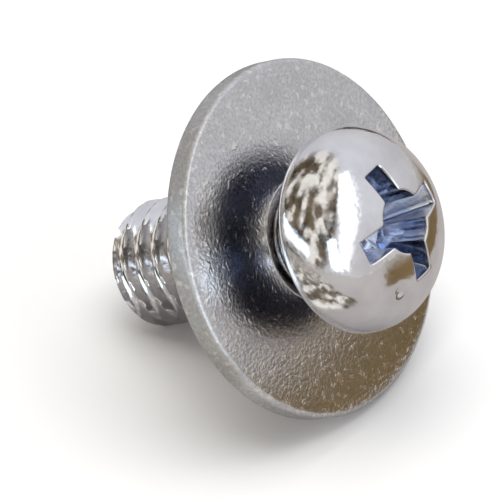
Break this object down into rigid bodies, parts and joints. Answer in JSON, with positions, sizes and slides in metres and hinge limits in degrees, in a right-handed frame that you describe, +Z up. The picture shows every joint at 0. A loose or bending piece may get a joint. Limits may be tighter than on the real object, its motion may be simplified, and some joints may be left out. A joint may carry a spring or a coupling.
{
  "type": "screw and washer assembly",
  "caption": "Cross recess pan head machine screw with a loose flat washer held captive on its neck by the rolled thread, bright zinc finish.",
  "frame": {"origin": "on the ground plane, under the middle of the lying part's box", "axes": "+Z up; the screw's axis lies in the XZ plane, its head towards +X and raised"},
  "size_m": [0.0108, 0.011, 0.0098],
  "materials": {
    "bright_zinc": "bright zinc plated steel, mirror-like",
    "satin_zinc": "zinc plated steel, satin, finely pebbled"
  },
  "bodies": {
    "screw": {"screw": "bright_zinc"},
    "washer": {"washer": "satin_zinc"}
  },
  "joints": [
    {"name": "washer_slide", "type": "slide", "parent": "screw", "child": "washer", "axis": [0.8628, 0, 0.5055], "range_m": [0, 0.00142]}
  ]
}
